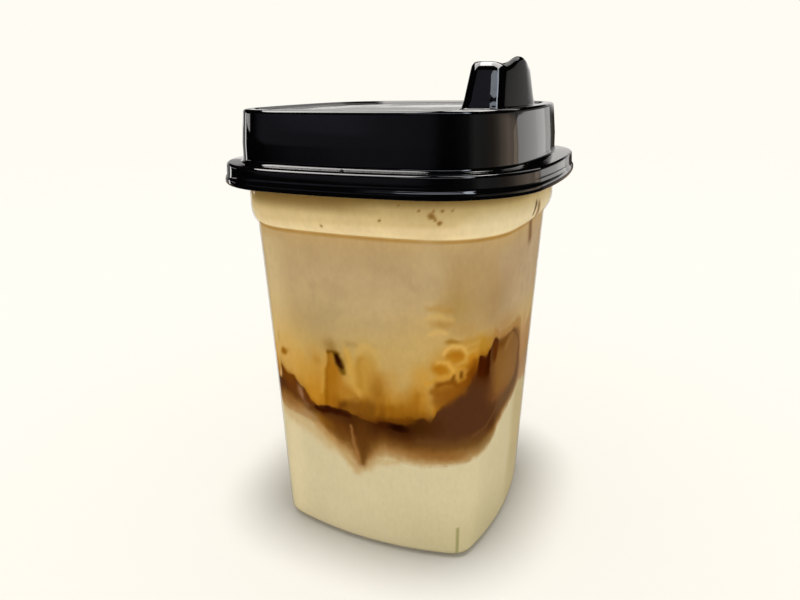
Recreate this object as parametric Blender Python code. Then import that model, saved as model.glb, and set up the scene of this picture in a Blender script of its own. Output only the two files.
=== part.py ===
"""Iced latte macchiato in a clear, square takeaway cup under a black sip lid.

Metres, +Z up. The origin is the middle of the cup's underside. The wide faces look along -Y and +Y,
and the sip spout stands on the lid's +X side.
"""

import math

import bmesh
import bpy

# ---------------------------------------------------------------- driving dimensions
CUP_HEIGHT = 0.1124
CUP_WALL = 0.0008
BASE_HALF = 0.0345
NECK_HALF = 0.0389
SHOULDER_Z = 0.0973
BAND_HALF = 0.0413
RIM_HALF = 0.0446
LID_HALF = 0.0468
SKIRT_Z = 0.1082
FLANGE_Z = 0.1138
DECK_Z = 0.1276
LID_WALL = 0.0009
SPOUT_TOP_Z = 0.1399
DRINK_LEVEL_Z = 0.1094
GAP = 0.0003

# Plan of each level: corner radius and outward bow of the four sides.
BASE_CORNER, BASE_BOW = 0.0080, 0.0034
NECK_CORNER, NECK_BOW = 0.0194, 0.0012
BAND_CORNER = 0.0230
FLANGE_CORNER, FLANGE_BOW = 0.0258, 0.0014
DRUM_CORNER, DRUM_BOW = 0.0188, 0.0015

# Cup details.
FOOT_RADIUS = 0.0029
FOOT_LAND = 0.0040
PUNT = 0.0008
SHOULDER_HEIGHT = 0.0046
SHOULDER_SHARES = (0.0, 0.12, 0.35, 0.65, 1.0)
SHOULDER_LAG = 0.6
RIM_THICKNESS = 0.0018
RIM_EDGE = 0.0004
BODY_SHARES = (0.35, 0.7)

# Lid details.
DRUM_BASE_HALF = 0.0410
DRUM_TOP_HALF = 0.0398
DRUM_EDGE_RADIUS = 0.0010
DECK_RIM = 0.0022
DECK_RECESS = 0.0006
SKIRT_LEAN = 0.0007
SKIRT_BEAD = 0.00025
SKIRT_BEAD_HEIGHT = 0.0019
LID_FILLET = 0.0003

# Spout: its base and top outlines, as X from and to, and half width in Y.
SPOUT_BASE = (0.0226, 0.0333, 0.0191)
SPOUT_TOP = (0.0238, 0.0323, 0.0147)
SPOUT_CORNER = 0.0026
SPOUT_CORNER_LEAST = 0.0006
SPOUT_CORNER_STEPS = 4
SPOUT_BOW = 0.0014
SPOUT_BOW_STEPS = (-0.66, -0.33, 0.0, 0.33, 0.66)
SPOUT_WALL = 0.0010
SPOUT_CROWN = 0.0014
SPOUT_CROWN_REACH = 0.0084
SPOUT_NOTCH = 0.0006
SPOUT_NOTCH_IN = 0.0028
SPOUT_NOTCH_REACH = 0.0024
SPOUT_EDGE = 0.0011
SPOUT_DISH = 0.0012
SIP_SLOT = (0.0026, 0.0100)
SIP_SLOT_STEPS = 16

# Drink: the mean heights of the two interfaces between milk, espresso and milk coffee.
MILK_MEAN_Z = 0.0420
ESPRESSO_MEAN_Z = 0.0515
SURFACE_STEPS = (0.82, 0.5)

# Where the two interfaces meet the cup wall, in millimetres: the way round the wall from the corner
# between the -Y and +X sides, and the height. A whole turn is GIRTH, and each outline closes on itself.
GIRTH = 256.6
MILK_EDGE = (
    (-62, 39.6), (-57, 39.4), (-53, 39.6), (-50, 38.8), (-45.5, 36.2), (-42, 33.2), (-38, 30.2), (-35, 28),
    (-33.5, 26), (-32, 25), (-30.3, 27), (-28, 29.6), (-25, 31.6), (-20, 31.4), (-12, 31), (-4, 32.3),
    (4, 33.2), (10, 33.8), (13, 35.6), (15.5, 38.2), (20, 40.5), (28, 43), (34, 45.5), (44, 42), (56, 37.5),
    (66, 35), (76, 38), (90, 43), (102, 41.5), (112, 36), (120, 32.5), (128, 34.5), (138, 40), (152, 43.5),
    (166, 41), (174, 38.5), (184, 42),
)
ESPRESSO_EDGE = (
    (-62, 49.6), (-61, 51.5), (-60.2, 54.8), (-58.6, 53), (-57, 52.3), (-55.2, 52.5), (-53.5, 50.8),
    (-51, 49.2), (-49.8, 47.2), (-48.4, 45.4), (-46, 44.9), (-42, 45.6), (-37, 45.4), (-33, 44.4),
    (-27, 43.2), (-24, 44.5), (-21, 43.9), (-18, 43.6), (-15, 46), (-12.5, 47), (-10.2, 45.6), (-8.8, 49.8),
    (-6, 52.4), (-3, 55), (0, 58.3), (1.8, 61.5), (3.2, 65.2), (4.8, 64.2), (6.8, 65.9), (8.6, 68.8),
    (10.4, 67.8), (12, 66.4), (22, 66.6), (26, 64.6), (29, 60.5), (31.5, 53.5), (36, 51), (44, 52.5),
    (52, 49), (60, 45), (68, 47), (76, 53.5), (84, 60.5), (92, 62.5), (100, 57.5), (108, 50.5), (116, 46.5),
    (126, 48.5), (134, 55), (142, 59.5), (150, 55.5), (158, 51.5), (168, 51), (178, 48.5), (188, 49.6),
)


def edge_height(knots, way):
    """Height in metres of an interface on the wall, some millimetres round it from the near corner."""
    around = knots[0][0] + (way - knots[0][0]) % GIRTH
    closed = knots + ((knots[0][0] + GIRTH, knots[0][1]),)
    for (start, low), (end, high) in zip(closed, closed[1:]):
        if around <= end:
            return (low + (high - low) * (around - start) / (end - start)) / 1000
    return closed[-1][1] / 1000


def ways_round(outline):
    """How far round the wall each point of an outline lies, in millimetres of GIRTH from the near corner."""
    lengths = [math.dist(point, after) for point, after in zip(outline, outline[1:] + outline[:1])]
    travelled = [sum(lengths[:index]) for index in range(len(outline))]
    near = min(range(len(outline)), key=lambda index: outline[index][1] - outline[index][0])
    return [(there - travelled[near]) / sum(lengths) * GIRTH for there in travelled]


# ---------------------------------------------------------------- plan and profile helpers
def rounded_square(half, corner, bow, side_steps, corner_steps):
    """Points round a square whose corners are arcs and whose sides are bowed arcs, tangent to each other."""
    reach = half - corner
    side_radius = (reach * reach + bow * bow) / (2 * bow)
    turn = math.asin(reach / side_radius)
    end_x, end_y = half - bow, reach
    corner_radius = (end_x - end_y) / (math.cos(turn) - math.sin(turn))
    centre = end_x - corner_radius * math.cos(turn)
    quarter = []
    for step in range(side_steps):
        bearing = -turn + 2 * turn * step / side_steps
        x = half - side_radius + side_radius * math.cos(bearing)
        quarter.append((x, side_radius * math.sin(bearing)))
    for step in range(corner_steps):
        bearing = turn + (math.pi / 2 - 2 * turn) * step / corner_steps
        across, along = corner_radius * math.cos(bearing), corner_radius * math.sin(bearing)
        quarter.append((centre + across, centre + along))
    points = []
    for x, y in quarter:
        points.append((x, y))
    for _ in range(3):
        quarter = [(-y, x) for x, y in quarter]
        points.extend(quarter)
    return points


def blend(low, high, share):
    return low + (high - low) * share


def cup_plan(z):
    """Half width, corner radius and bow of the cup's outer face at a height below its rim."""
    share = min(max(z / SHOULDER_Z, 0.0), 1.0)
    half = blend(BASE_HALF, NECK_HALF, share)
    if z < FOOT_RADIUS:
        half -= FOOT_RADIUS - math.sqrt(max(FOOT_RADIUS**2 - (FOOT_RADIUS - z) ** 2, 0.0))
    corner = blend(BASE_CORNER, NECK_CORNER, share)
    bow = blend(BASE_BOW, NECK_BOW, share)
    if z > SHOULDER_Z:
        rise = min((z - SHOULDER_Z) / SHOULDER_HEIGHT, 1.0)
        swell = math.sqrt(1 - (1 - rise) ** 2)
        half = blend(NECK_HALF, BAND_HALF, swell)
        corner = blend(NECK_CORNER, BAND_CORNER, swell)
    return half, corner, bow


def inner_plan(z, inset):
    """The plan of a face that lies inside the cup's outer one, whose shoulder sits a little higher."""
    raised = inset * SHOULDER_LAG
    outer_z = z - raised if z > SHOULDER_Z + raised else min(z, SHOULDER_Z)
    half, corner, bow = cup_plan(outer_z)
    return half - inset, corner - inset * 0.5, bow


def shoulder_heights(inset):
    """Heights of the rings up the shoulder, on a face that lies inside the outer one by this inset."""
    return [SHOULDER_Z + inset * SHOULDER_LAG + SHOULDER_HEIGHT * share for share in SHOULDER_SHARES]


def ring(z, half, corner, bow, side_steps=6, corner_steps=8):
    return [(x, y, z) for x, y in rounded_square(half, corner, bow, side_steps, corner_steps)]


def flange_ring(z, half):
    """A ring parallel to the lid's skirt, at another half width."""
    return ring(z, half, FLANGE_CORNER - (LID_HALF - half), FLANGE_BOW)


def drum_ring(z, half):
    """A ring parallel to the foot of the lid's drum, at another half width."""
    return ring(z, half, DRUM_CORNER - (DRUM_BASE_HALF - half), DRUM_BOW)


# ---------------------------------------------------------------- mesh helpers
def material(name, colour, roughness, alpha=1.0):
    made = bpy.data.materials.new(name)
    made.use_nodes = True
    shader = made.node_tree.nodes["Principled BSDF"]
    shader.inputs["Base Color"].default_value = (*colour, 1.0)
    shader.inputs["Roughness"].default_value = roughness
    shader.inputs["Metallic"].default_value = 0.0
    shader.inputs["Alpha"].default_value = alpha
    made.diffuse_color = (*colour, alpha)
    return made


def object_from(mesh_data, name, finish):
    """Turns a bmesh into a smooth-shaded object with its faces pointing out."""
    bmesh.ops.recalc_face_normals(mesh_data, faces=mesh_data.faces)
    mesh = bpy.data.meshes.new(name)
    mesh_data.to_mesh(mesh)
    mesh_data.free()
    if finish is not None:
        mesh.materials.append(finish)
    mesh.shade_smooth()
    mesh.set_sharp_from_angle(angle=math.radians(35))
    made = bpy.data.objects.new(name, mesh)
    bpy.context.scene.collection.objects.link(made)
    return made


def loft(name, rings, finish=None):
    """A closed solid through rings of equal count, with a flat cap on the first and the last."""
    mesh_data = bmesh.new()
    loops = [[mesh_data.verts.new(point) for point in points] for points in rings]
    count = len(loops[0])
    for lower, upper in zip(loops, loops[1:]):
        for index in range(count):
            after = (index + 1) % count
            mesh_data.faces.new((lower[index], lower[after], upper[after], upper[index]))
    mesh_data.faces.new(loops[0])
    mesh_data.faces.new(loops[-1])
    return object_from(mesh_data, name, finish)


def boolean(target, cutter, operation):
    """Applies one Boolean and removes the cutter."""
    step = target.modifiers.new(operation, "BOOLEAN")
    step.operation = operation
    step.solver = "EXACT"
    step.object = cutter
    graph = bpy.context.evaluated_depsgraph_get()
    result = bpy.data.meshes.new_from_object(target.evaluated_get(graph))
    target.modifiers.clear()
    target.data = result
    bpy.data.objects.remove(cutter)


# ---------------------------------------------------------------- the cup
def make_cup(finish):
    outer_heights = [FOOT_RADIUS * (1 - math.cos(math.radians(bearing))) for bearing in (0, 35, 62, 90)]
    body_heights = [SHOULDER_Z * share for share in BODY_SHARES]
    outer_heights += body_heights + shoulder_heights(0.0)
    rings = []
    land_half = BASE_HALF - FOOT_RADIUS - FOOT_LAND
    punt_plan = (land_half - PUNT, BASE_CORNER - FOOT_LAND, BASE_BOW)
    rings.append(ring(PUNT, *punt_plan))
    rings.append(ring(0.0, land_half, BASE_CORNER - FOOT_LAND, BASE_BOW))
    for z in outer_heights:
        rings.append(ring(z, *cup_plan(z)))
    under_rim = CUP_HEIGHT - RIM_THICKNESS
    rings.append(ring(under_rim, *cup_plan(under_rim)))
    for z, half in (
        (under_rim, RIM_HALF - RIM_EDGE),
        (under_rim + RIM_EDGE, RIM_HALF),
        (CUP_HEIGHT - RIM_EDGE, RIM_HALF),
        (CUP_HEIGHT, RIM_HALF - RIM_EDGE),
    ):
        rings.append(flange_ring(z, half))
    rings.append(ring(CUP_HEIGHT, *inner_plan(CUP_HEIGHT, 0.0)))
    rings.append(ring(CUP_HEIGHT - RIM_EDGE, *inner_plan(CUP_HEIGHT, CUP_WALL)))
    for z in reversed(body_heights + shoulder_heights(CUP_WALL)):
        rings.append(ring(z, *inner_plan(z, CUP_WALL)))
    floor = PUNT + CUP_WALL
    for bearing in (90, 60, 30, 0):
        lift = FOOT_RADIUS * (1 - math.cos(math.radians(bearing)))
        z = floor + lift
        half, corner, bow = inner_plan(FOOT_RADIUS, CUP_WALL)
        tuck = FOOT_RADIUS * (1 - math.sin(math.radians(bearing)))
        rings.append(ring(z, half - tuck, corner - tuck * 0.5, bow))
    return loft("cup", rings, finish)


# ---------------------------------------------------------------- the lid
def spout_ring(z, plan, inset=0.0, lift=None):
    """Rounded rectangle with its +X side bowed outward."""
    x_from, x_to, half_y = plan
    x_from, x_to, half_y = x_from + inset, x_to - inset, half_y - inset
    corner = max(SPOUT_CORNER - inset, SPOUT_CORNER_LEAST)
    points = []
    for centre_x, centre_y, start in (
        (x_to - corner, half_y - corner, 0),
        (x_from + corner, half_y - corner, 90),
        (x_from + corner, -half_y + corner, 180),
        (x_to - corner, -half_y + corner, 270),
    ):
        for step in range(SPOUT_CORNER_STEPS + 1):
            bearing = math.radians(start + 90 * step / SPOUT_CORNER_STEPS)
            points.append((centre_x + corner * math.cos(bearing), centre_y + corner * math.sin(bearing)))
    for share in SPOUT_BOW_STEPS:
        points.append((x_to, share * (half_y - corner)))
    made = []
    for x, y in points:
        outward = max((x - x_to + corner) / corner, 0.0)
        x += SPOUT_BOW * outward * (1 - (y / half_y) ** 2)
        made.append((x, y, z if lift is None else z + lift(x, y)))
    return made


def spout_lift(x, y):
    """The outer lip is highest in its middle and dips at its two ends; the inner edge is level."""
    x_from, x_to, half_y = SPOUT_TOP
    outward = min(max((x - x_from) / (x_to - x_from), 0.0), 1.0)
    crown = SPOUT_CROWN * outward * max(1 - (y / SPOUT_CROWN_REACH) ** 2, 0.0)
    from_notch = math.hypot(abs(y) - half_y + SPOUT_NOTCH_IN, x - x_to) / SPOUT_NOTCH_REACH
    return crown - SPOUT_NOTCH * math.exp(-(from_notch**2))


def plan_between(share):
    return tuple(blend(low, high, share) for low, high in zip(SPOUT_BASE, SPOUT_TOP))


def make_spout(deck):
    """The spout's outside, its hollow and its slot, as three solids."""
    lip = SPOUT_TOP_Z - SPOUT_CROWN
    outside = [spout_ring(deck - LID_WALL * 0.5, SPOUT_BASE), spout_ring(deck, SPOUT_BASE)]
    outside.append(spout_ring(blend(deck, lip, 0.5), plan_between(0.5)))
    outside.append(spout_ring(lip - SPOUT_EDGE, plan_between(0.92), 0.0, spout_lift))
    outside.append(spout_ring(lip - SPOUT_EDGE * 0.3, SPOUT_TOP, SPOUT_EDGE * 0.3, spout_lift))
    outside.append(spout_ring(lip, SPOUT_TOP, SPOUT_EDGE, spout_lift))
    outside.append(spout_ring(lip - SPOUT_DISH, SPOUT_TOP, SPOUT_EDGE * 2.0))
    body = loft("spout", outside)
    roof = lip - SPOUT_DISH - SPOUT_WALL
    hollow_rings = [spout_ring(deck - LID_WALL * 2, SPOUT_BASE, SPOUT_WALL)]
    hollow_rings.append(spout_ring(roof, plan_between(0.85), SPOUT_WALL))
    hollow = loft("spout_hollow", hollow_rings)
    middle = (SPOUT_TOP[0] + SPOUT_TOP[1]) / 2
    half_x, half_y = SIP_SLOT[0] / 2, SIP_SLOT[1] / 2
    slot_rings = []
    for z in (roof - SPOUT_WALL, SPOUT_TOP_Z + SPOUT_WALL):
        outline = []
        for step in range(SIP_SLOT_STEPS):
            bearing = math.radians(360 * (step + 0.5) / SIP_SLOT_STEPS)
            end = math.copysign(half_y - half_x, math.sin(bearing))
            outline.append((middle + half_x * math.cos(bearing), end + half_x * math.sin(bearing), z))
        slot_rings.append(outline)
    slot = loft("sip_slot", slot_rings)
    return body, hollow, slot


def make_lid(finish):
    floor_z = DECK_Z - DECK_RECESS
    edge = DRUM_EDGE_RADIUS
    rings = []
    well = DRUM_TOP_HALF - edge - DECK_RIM - DECK_RECESS
    rings.append(drum_ring(floor_z, well))
    rings.append(drum_ring(DECK_Z, DRUM_TOP_HALF - edge - DECK_RIM))
    for bearing in (90, 60, 30, 0):
        z = DECK_Z - edge + edge * math.sin(math.radians(bearing))
        rings.append(drum_ring(z, DRUM_TOP_HALF - edge + edge * math.cos(math.radians(bearing))))
    fillet = LID_FILLET
    rings.append(drum_ring(FLANGE_Z + fillet * 3, DRUM_BASE_HALF))
    rings.append(drum_ring(FLANGE_Z + fillet, DRUM_BASE_HALF + fillet * 2))
    upper_half = LID_HALF - SKIRT_LEAN
    rings.append(flange_ring(FLANGE_Z, upper_half - fillet * 3))
    rings.append(flange_ring(FLANGE_Z - fillet, upper_half - fillet))
    rings.append(flange_ring(FLANGE_Z - fillet * 3, upper_half))
    bead_z = SKIRT_Z + SKIRT_BEAD_HEIGHT
    bead_half = LID_HALF - SKIRT_BEAD
    rings.append(flange_ring(bead_z + SKIRT_BEAD, bead_half - SKIRT_BEAD))
    rings.append(flange_ring(bead_z, bead_half))
    rings.append(flange_ring(SKIRT_Z + fillet, LID_HALF))
    rings.append(flange_ring(SKIRT_Z, LID_HALF - fillet))
    under = FLANGE_Z - LID_WALL
    rings.append(flange_ring(SKIRT_Z, LID_HALF - LID_WALL))
    rings.append(flange_ring(under - fillet * 2, upper_half - LID_WALL))
    rings.append(flange_ring(under, upper_half - LID_WALL - fillet * 2))
    rings.append(drum_ring(under + fillet, DRUM_BASE_HALF - LID_WALL + fillet * 2))
    rings.append(drum_ring(under + fillet * 3, DRUM_BASE_HALF - LID_WALL))
    roof = floor_z - LID_WALL
    rings.append(drum_ring(roof - edge, DRUM_TOP_HALF - LID_WALL))
    rings.append(drum_ring(roof, DRUM_TOP_HALF - LID_WALL - edge))
    lid = loft("lid", rings, finish)
    spout, hollow, slot = make_spout(floor_z)
    boolean(lid, spout, "UNION")
    boolean(lid, hollow, "DIFFERENCE")
    boolean(lid, slot, "DIFFERENCE")
    return lid


# ---------------------------------------------------------------- the drink
def drink_layer(name, finish, lower_edge, upper_edge, lower_mean, upper_mean, fixed_heights):
    """A layer that fills the cup between two wavy surfaces. An edge of None is a flat surface at its mean."""
    side_steps, corner_steps = 16, 8
    inset = CUP_WALL + GAP
    count = 4 * (side_steps + corner_steps)

    def wall_ring(z, tuck=0.0):
        half, corner, bow = inner_plan(z, inset)
        return rounded_square(half - tuck, corner - tuck * 0.5, bow, side_steps, corner_steps)

    ways = ways_round(wall_ring(MILK_MEAN_Z))
    lower = [lower_mean if lower_edge is None else edge_height(lower_edge, way) + GAP / 2 for way in ways]
    upper = [upper_mean if upper_edge is None else edge_height(upper_edge, way) - GAP / 2 for way in ways]
    rows = []
    if fixed_heights:
        first = fixed_heights[0]
        for share in (0.0, 0.33, 0.66):
            rows.append([blend(z, first, share) for z in lower])
        for z in fixed_heights:
            rows.append([z] * count)
    else:
        for share in (0.0, 0.33, 0.66, 1.0):
            rows.append([blend(low, high, share) for low, high in zip(lower, upper)])
    mesh_data = bmesh.new()
    loops = []
    if lower_edge is None:
        for bearing in (0, 45):
            z = lower_mean + FOOT_RADIUS * (1 - math.cos(math.radians(bearing)))
            tuck = FOOT_RADIUS * (1 - math.sin(math.radians(bearing)))
            outline = wall_ring(FOOT_RADIUS, tuck)
            loops.append([mesh_data.verts.new((x, y, z)) for x, y in outline])
        rows[0] = [lower_mean + FOOT_RADIUS] * count
    for heights in rows:
        row = []
        for index, z in enumerate(heights):
            row.append(mesh_data.verts.new((*wall_ring(z)[index], z)))
        loops.append(row)

    def add_faces(first, second):
        for index in range(count):
            after = (index + 1) % count
            mesh_data.faces.new((first[index], first[after], second[after], second[index]))

    def add_surface(edge_loop, mean):
        outer = edge_loop
        for share in SURFACE_STEPS:
            inner = []
            for vertex in edge_loop:
                x, y, z = vertex.co
                inner.append(mesh_data.verts.new((x * share, y * share, blend(mean, z, share**2))))
            add_faces(outer, inner)
            outer = inner
        middle = mesh_data.verts.new((0.0, 0.0, mean))
        for index in range(count):
            mesh_data.faces.new((outer[index], outer[(index + 1) % count], middle))

    for first, second in zip(loops, loops[1:]):
        add_faces(first, second)
    add_surface(loops[0], lower_mean + (0.0 if lower_edge is None else GAP / 2))
    add_surface(loops[-1], upper_mean - (0.0 if upper_edge is None else GAP / 2))
    return object_from(mesh_data, name, finish)


def make_drink():
    milk = material("milk", (0.72, 0.60, 0.38), 0.35)
    espresso = material("espresso", (0.16, 0.06, 0.02), 0.35)
    latte = material("milk_coffee", (0.52, 0.36, 0.17), 0.35)
    floor = PUNT + CUP_WALL + GAP
    drink_layer("drink_milk", milk, None, MILK_EDGE, floor, MILK_MEAN_Z, ())
    drink_layer("drink_espresso", espresso, MILK_EDGE, ESPRESSO_EDGE, MILK_MEAN_Z, ESPRESSO_MEAN_Z, ())
    heights = shoulder_heights(CUP_WALL + GAP) + [DRINK_LEVEL_Z]
    drink_layer("drink_milk_coffee", latte, ESPRESSO_EDGE, None, ESPRESSO_MEAN_Z, DRINK_LEVEL_Z, heights)


def main():
    for existing in list(bpy.data.objects):
        bpy.data.objects.remove(existing)
    make_cup(material("clear_plastic", (0.90, 0.92, 0.90), 0.05, 0.2))
    make_lid(material("black_plastic", (0.008, 0.008, 0.010), 0.12))
    make_drink()


main()
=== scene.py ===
"""The looks of the iced latte macchiato: a clear cup, a glossy black sip lid and a layered drink.

Everything is in metres in the frame's own axes, except the drink's colours: they are painted by place on the
cup wall, in millimetres round the wall from the corner between its -Y and +X sides, and millimetres up.
"""

import math

import bpy
import numpy as np
from mathutils import Matrix, Vector


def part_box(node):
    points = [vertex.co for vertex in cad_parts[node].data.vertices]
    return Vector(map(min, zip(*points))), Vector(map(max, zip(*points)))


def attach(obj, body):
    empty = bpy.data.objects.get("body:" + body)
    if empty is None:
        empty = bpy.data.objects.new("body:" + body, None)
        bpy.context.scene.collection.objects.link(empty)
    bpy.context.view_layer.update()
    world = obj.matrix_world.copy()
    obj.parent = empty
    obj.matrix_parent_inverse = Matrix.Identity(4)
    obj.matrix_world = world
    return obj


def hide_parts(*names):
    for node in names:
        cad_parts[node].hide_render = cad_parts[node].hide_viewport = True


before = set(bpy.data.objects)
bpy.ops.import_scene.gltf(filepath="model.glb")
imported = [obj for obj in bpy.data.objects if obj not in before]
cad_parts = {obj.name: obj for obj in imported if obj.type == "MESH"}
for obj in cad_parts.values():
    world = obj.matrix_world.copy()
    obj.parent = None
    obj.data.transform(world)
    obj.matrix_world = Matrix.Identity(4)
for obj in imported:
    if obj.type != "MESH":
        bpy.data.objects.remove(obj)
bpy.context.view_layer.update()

# ------------ sizes, worked out from the frame
CUP_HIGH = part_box("cup")[1]
LID_LOW, LID_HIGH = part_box("lid")
CUP_HEIGHT = CUP_HIGH.z
RIM_HALF = CUP_HIGH.x
LID_HALF = LID_HIGH.x
SKIRT_Z = LID_LOW.z
SPOUT_TOP_Z = LID_HIGH.z
DRINK_LEVEL_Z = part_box("drink_milk_coffee")[1].z
CUP_WALL = 0.0008
DRINK_REACH = 0.0005
DRINK_INSET = CUP_WALL - DRINK_REACH
BASE_HALF, BASE_CORNER, BASE_BOW = 0.0345, 0.0080, 0.0034
NECK_HALF, NECK_CORNER, NECK_BOW = 0.0389, 0.0194, 0.0012
BAND_HALF, BAND_CORNER = 0.0413, 0.0230
SHOULDER_Z = 0.0973
SHOULDER_HEIGHT = 0.0046
SHOULDER_LAG = 0.6
FOOT_RADIUS = 0.0029
FOOT_LAND = 0.0040
PUNT = 0.0008
RIM_THICKNESS = 0.0018
RIM_EDGE = RIM_THICKNESS * 0.4
RIM_ROOT = 0.0020

LID_WALL = 0.0009
FLANGE_Z = 0.1138
FLANGE_HALF = LID_HALF - 0.0007
FLANGE_EDGE = 0.0008
FLANGE_CORNER, FLANGE_BOW = 0.0258, 0.0014
# The skirt from the flange down: heights above its foot, and how far each lies inside the lid's width.
SKIRT_PROFILE = (
    (0.0030, 0.00055), (0.0023, 0.0005), (0.0020, 0.00035), (0.0017, 0.00012), (0.0013, 0.0), (0.0008, 0.0),
)
SKIRT_EDGE = 0.0005
SKIRT_WALL = 0.0011
DECK_Z = 0.1276
DECK_RIM = 0.0022
DECK_RECESS = 0.0006
DRUM_BASE_HALF, DRUM_TOP_HALF = 0.0410, 0.0398
DRUM_CORNER, DRUM_BOW = 0.0188, 0.0015
DRUM_EDGE = 0.0010
DRUM_FILLET = 0.0011
DRUM_SINK = 0.0003
INNER_ROUND, INNER_STEP = 0.0005, 0.0003

# The spout's plan at its foot and at its top: from and to along X, and half its width along Y.
SPOUT_BASE = (0.0226, 0.0333, 0.0191)
SPOUT_TOP = (0.0238, 0.0323, 0.0147)
SPOUT_CORNER, SPOUT_CORNER_LEAST = 0.0026, 0.0006
SPOUT_BOW = 0.0014
SPOUT_FILLET = 0.0008
SPOUT_CROWN, SPOUT_CROWN_REACH = 0.0014, 0.0084
SPOUT_NOTCH, SPOUT_NOTCH_REACH, SPOUT_NOTCH_IN = 0.0006, 0.0024, 0.0028
SPOUT_EDGE = 0.0011
SPOUT_DISH = 0.0012
SIP_SLOT = (0.0026, 0.0100)
SIP_WELL = 0.0060
GATE_AT = (0.0011, -0.0423)
GATE_PROFILE = ((-0.0004, 0.0005), (0.0001, 0.0005), (0.0004, 0.0003), (0.0005, 0.0001))

# How high the layers of the drink meet in the cup's middle.
MILK_MIDDLE_Z = 0.0420
ESPRESSO_MIDDLE_Z = 0.0515
MM = 1000.0


# ------------ the wall's plan
def cup_plan(z):
    """Half width, corner radius and bow of the cup's outer face at some heights."""
    share = np.clip(z / SHOULDER_Z, 0.0, 1.0)
    half = BASE_HALF + (NECK_HALF - BASE_HALF) * share
    below = np.clip(FOOT_RADIUS - z, 0.0, FOOT_RADIUS)
    half = half - (FOOT_RADIUS - np.sqrt(FOOT_RADIUS**2 - below**2))
    rise = np.clip((z - SHOULDER_Z) / SHOULDER_HEIGHT, 0.0, 1.0)
    swell = np.sqrt(1 - (1 - rise) ** 2)
    half = half + (BAND_HALF - NECK_HALF) * swell
    corner = BASE_CORNER + (NECK_CORNER - BASE_CORNER) * share + (BAND_CORNER - NECK_CORNER) * swell
    bow = BASE_BOW + (NECK_BOW - BASE_BOW) * share
    return half, corner, bow


def inner_plan(z, inset):
    """The plan of a face that lies inside the cup's outer one, whose shoulder sits a little higher."""
    raised = inset * SHOULDER_LAG
    outer_z = np.where(z > SHOULDER_Z + raised, z - raised, np.minimum(z, SHOULDER_Z))
    half, corner, bow = cup_plan(outer_z)
    return half - inset, corner - inset * 0.5, bow


def reach(angles, half, corner, bow):
    """Distance from the axis to a square with bowed sides and arcs for corners, in each direction."""
    straight = half - corner
    side_radius = (straight**2 + bow**2) / (2 * bow)
    turn = np.arcsin(straight / side_radius)
    end_x, end_y = half - bow, straight
    corner_radius = (end_x - end_y) / (np.cos(turn) - np.sin(turn))
    centre = end_x - corner_radius * np.cos(turn)
    off_axis = np.abs((angles + math.pi / 4) % (math.pi / 2) - math.pi / 4)
    side_centre = half - side_radius
    along = np.cos(off_axis) * side_centre
    side = along + np.sqrt(np.maximum(along**2 - side_centre**2 + side_radius**2, 0))
    along = (np.cos(off_axis) + np.sin(off_axis)) * centre
    arc = along + np.sqrt(np.maximum(along**2 - 2 * centre**2 + corner_radius**2, 0))
    return np.where(side * np.sin(off_axis) <= end_y, side, arc)


# The way round the wall is measured on its outline at this height, from the corner at -45 degrees.
MEASURED_Z = 0.060
_turn = np.radians(np.linspace(-180, 180, 7201))
_radius = reach(_turn, *cup_plan(MEASURED_Z))
_steps = np.hypot(np.diff(_radius * np.cos(_turn)), np.diff(_radius * np.sin(_turn))) * MM
_way = np.concatenate([[0.0], np.cumsum(_steps)])
_way -= np.interp(-math.pi / 4, _turn, _way)
PERIMETER = _way[-1] - _way[0]


def angle_of(way):
    return np.interp((way - _way[0]) % PERIMETER + _way[0], _way, _turn)


def signed_way(way):
    return (way + PERIMETER / 2) % PERIMETER - PERIMETER / 2


def ring_points(angles, z, half, corner, bow):
    """Points of one ring, or of a stack of rings where the sizes are columns."""
    radius = reach(angles, half, corner, bow)
    return np.stack(np.broadcast_arrays(radius * np.cos(angles), radius * np.sin(angles), z), -1)


# ------------ meshes
def placed(name, data):
    made = bpy.data.objects.new(name, data)
    bpy.context.scene.collection.objects.link(made)
    return made


def object_of(name, points, faces, finish, rounded=True):
    mesh = bpy.data.meshes.new(name)
    mesh.from_pydata(points.reshape(-1, 3).tolist(), [], faces)
    mesh.validate()
    mesh.materials.append(finish)
    if rounded:
        mesh.shade_smooth()
    return placed(name, mesh)


def strip_faces(rows, columns):
    """Quads between the rings of a closed stack."""
    row, column = np.meshgrid(np.arange(rows - 1), np.arange(columns), indexing="ij")
    after = (column + 1) % columns
    low, high = row * columns, (row + 1) * columns
    return np.stack([low + column, low + after, high + after, high + column], -1).reshape(-1, 4).tolist()


def fan_faces(ring_start, columns, centre, upward):
    around = [(ring_start + i, ring_start + (i + 1) % columns, centre) for i in range(columns)]
    return around if upward else [face[::-1] for face in around]


def closed_stack(name, rings, finish, sharp=None):
    """A closed solid through rings of equal count, from its first centre to its last."""
    rings = np.asarray(rings)
    rows, columns = rings.shape[:2]
    points = rings.reshape(-1, 3)
    ends = [rings[0].mean(0), rings[-1].mean(0)]
    faces = strip_faces(rows, columns)
    faces += fan_faces(0, columns, len(points), False)
    faces += fan_faces((rows - 1) * columns, columns, len(points) + 1, True)
    made = object_of(name, np.vstack([points, ends]), faces, finish)
    if sharp is not None:
        made.data.set_sharp_from_angle(angle=math.radians(sharp))
    return made


# ------------ the drink's colours
# The part of the wall that has the swirls of the photo; the rest is plainer.
FRONT_FROM, FRONT_TO = -66.0, 40.0
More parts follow.
